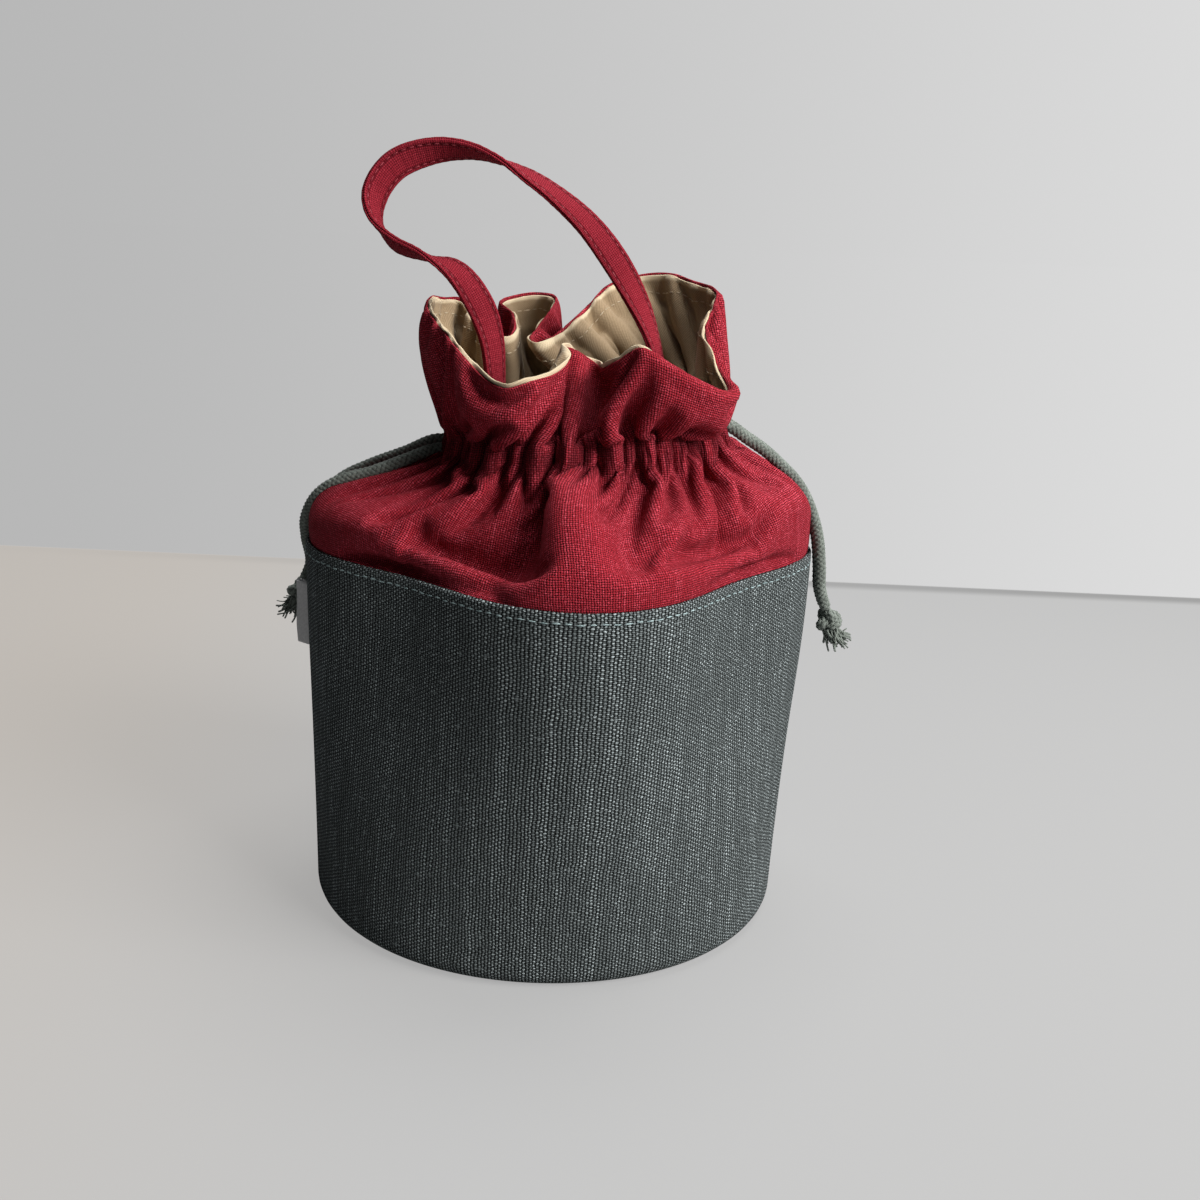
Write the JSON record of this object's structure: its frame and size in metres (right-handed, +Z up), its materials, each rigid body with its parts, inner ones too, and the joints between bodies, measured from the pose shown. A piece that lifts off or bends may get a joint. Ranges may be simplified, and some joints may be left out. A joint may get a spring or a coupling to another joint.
{
  "type": "drawstring bucket bag",
  "caption": "Canvas bucket bag with a linen collar gathered by drawcords, a lined ruffled mouth and a folded strap handle. Holds small things and draws shut at the neck.",
  "frame": {"origin": "centre of the underside of the base, on the surface the bag stands on", "axes": "+Z up, front of the bag towards -Y, side seams at +X and -X, label in the -X seam"},
  "size_m": [0.2077, 0.1746, 0.2593],
  "materials": {
    "canvas": "coarse slubbed linen canvas, matt",
    "linen": "plain-woven linen, matt",
    "twill": "cotton twill, matt",
    "braid": "braided cotton cord, matt",
    "ribbon": "woven ribbon, slight sheen"
  },
  "bodies": {
    "root": {"body_back": "canvas", "body_front": "canvas", "base_panel": "canvas", "lining_base": "twill", "collar_back": "linen", "collar_front": "linen", "lining_back": "twill", "lining_front": "twill", "handle_strap": "linen", "label_tab": "ribbon", "drawcord_left_loop": "braid", "drawcord_left_tail_front": "braid", "drawcord_left_tail_back": "braid", "drawcord_left_knot": "braid", "drawcord_right_loop": "braid", "drawcord_right_tail_front": "braid", "drawcord_right_tail_back": "braid", "drawcord_right_knot": "braid"}
  },
  "joints": []
}
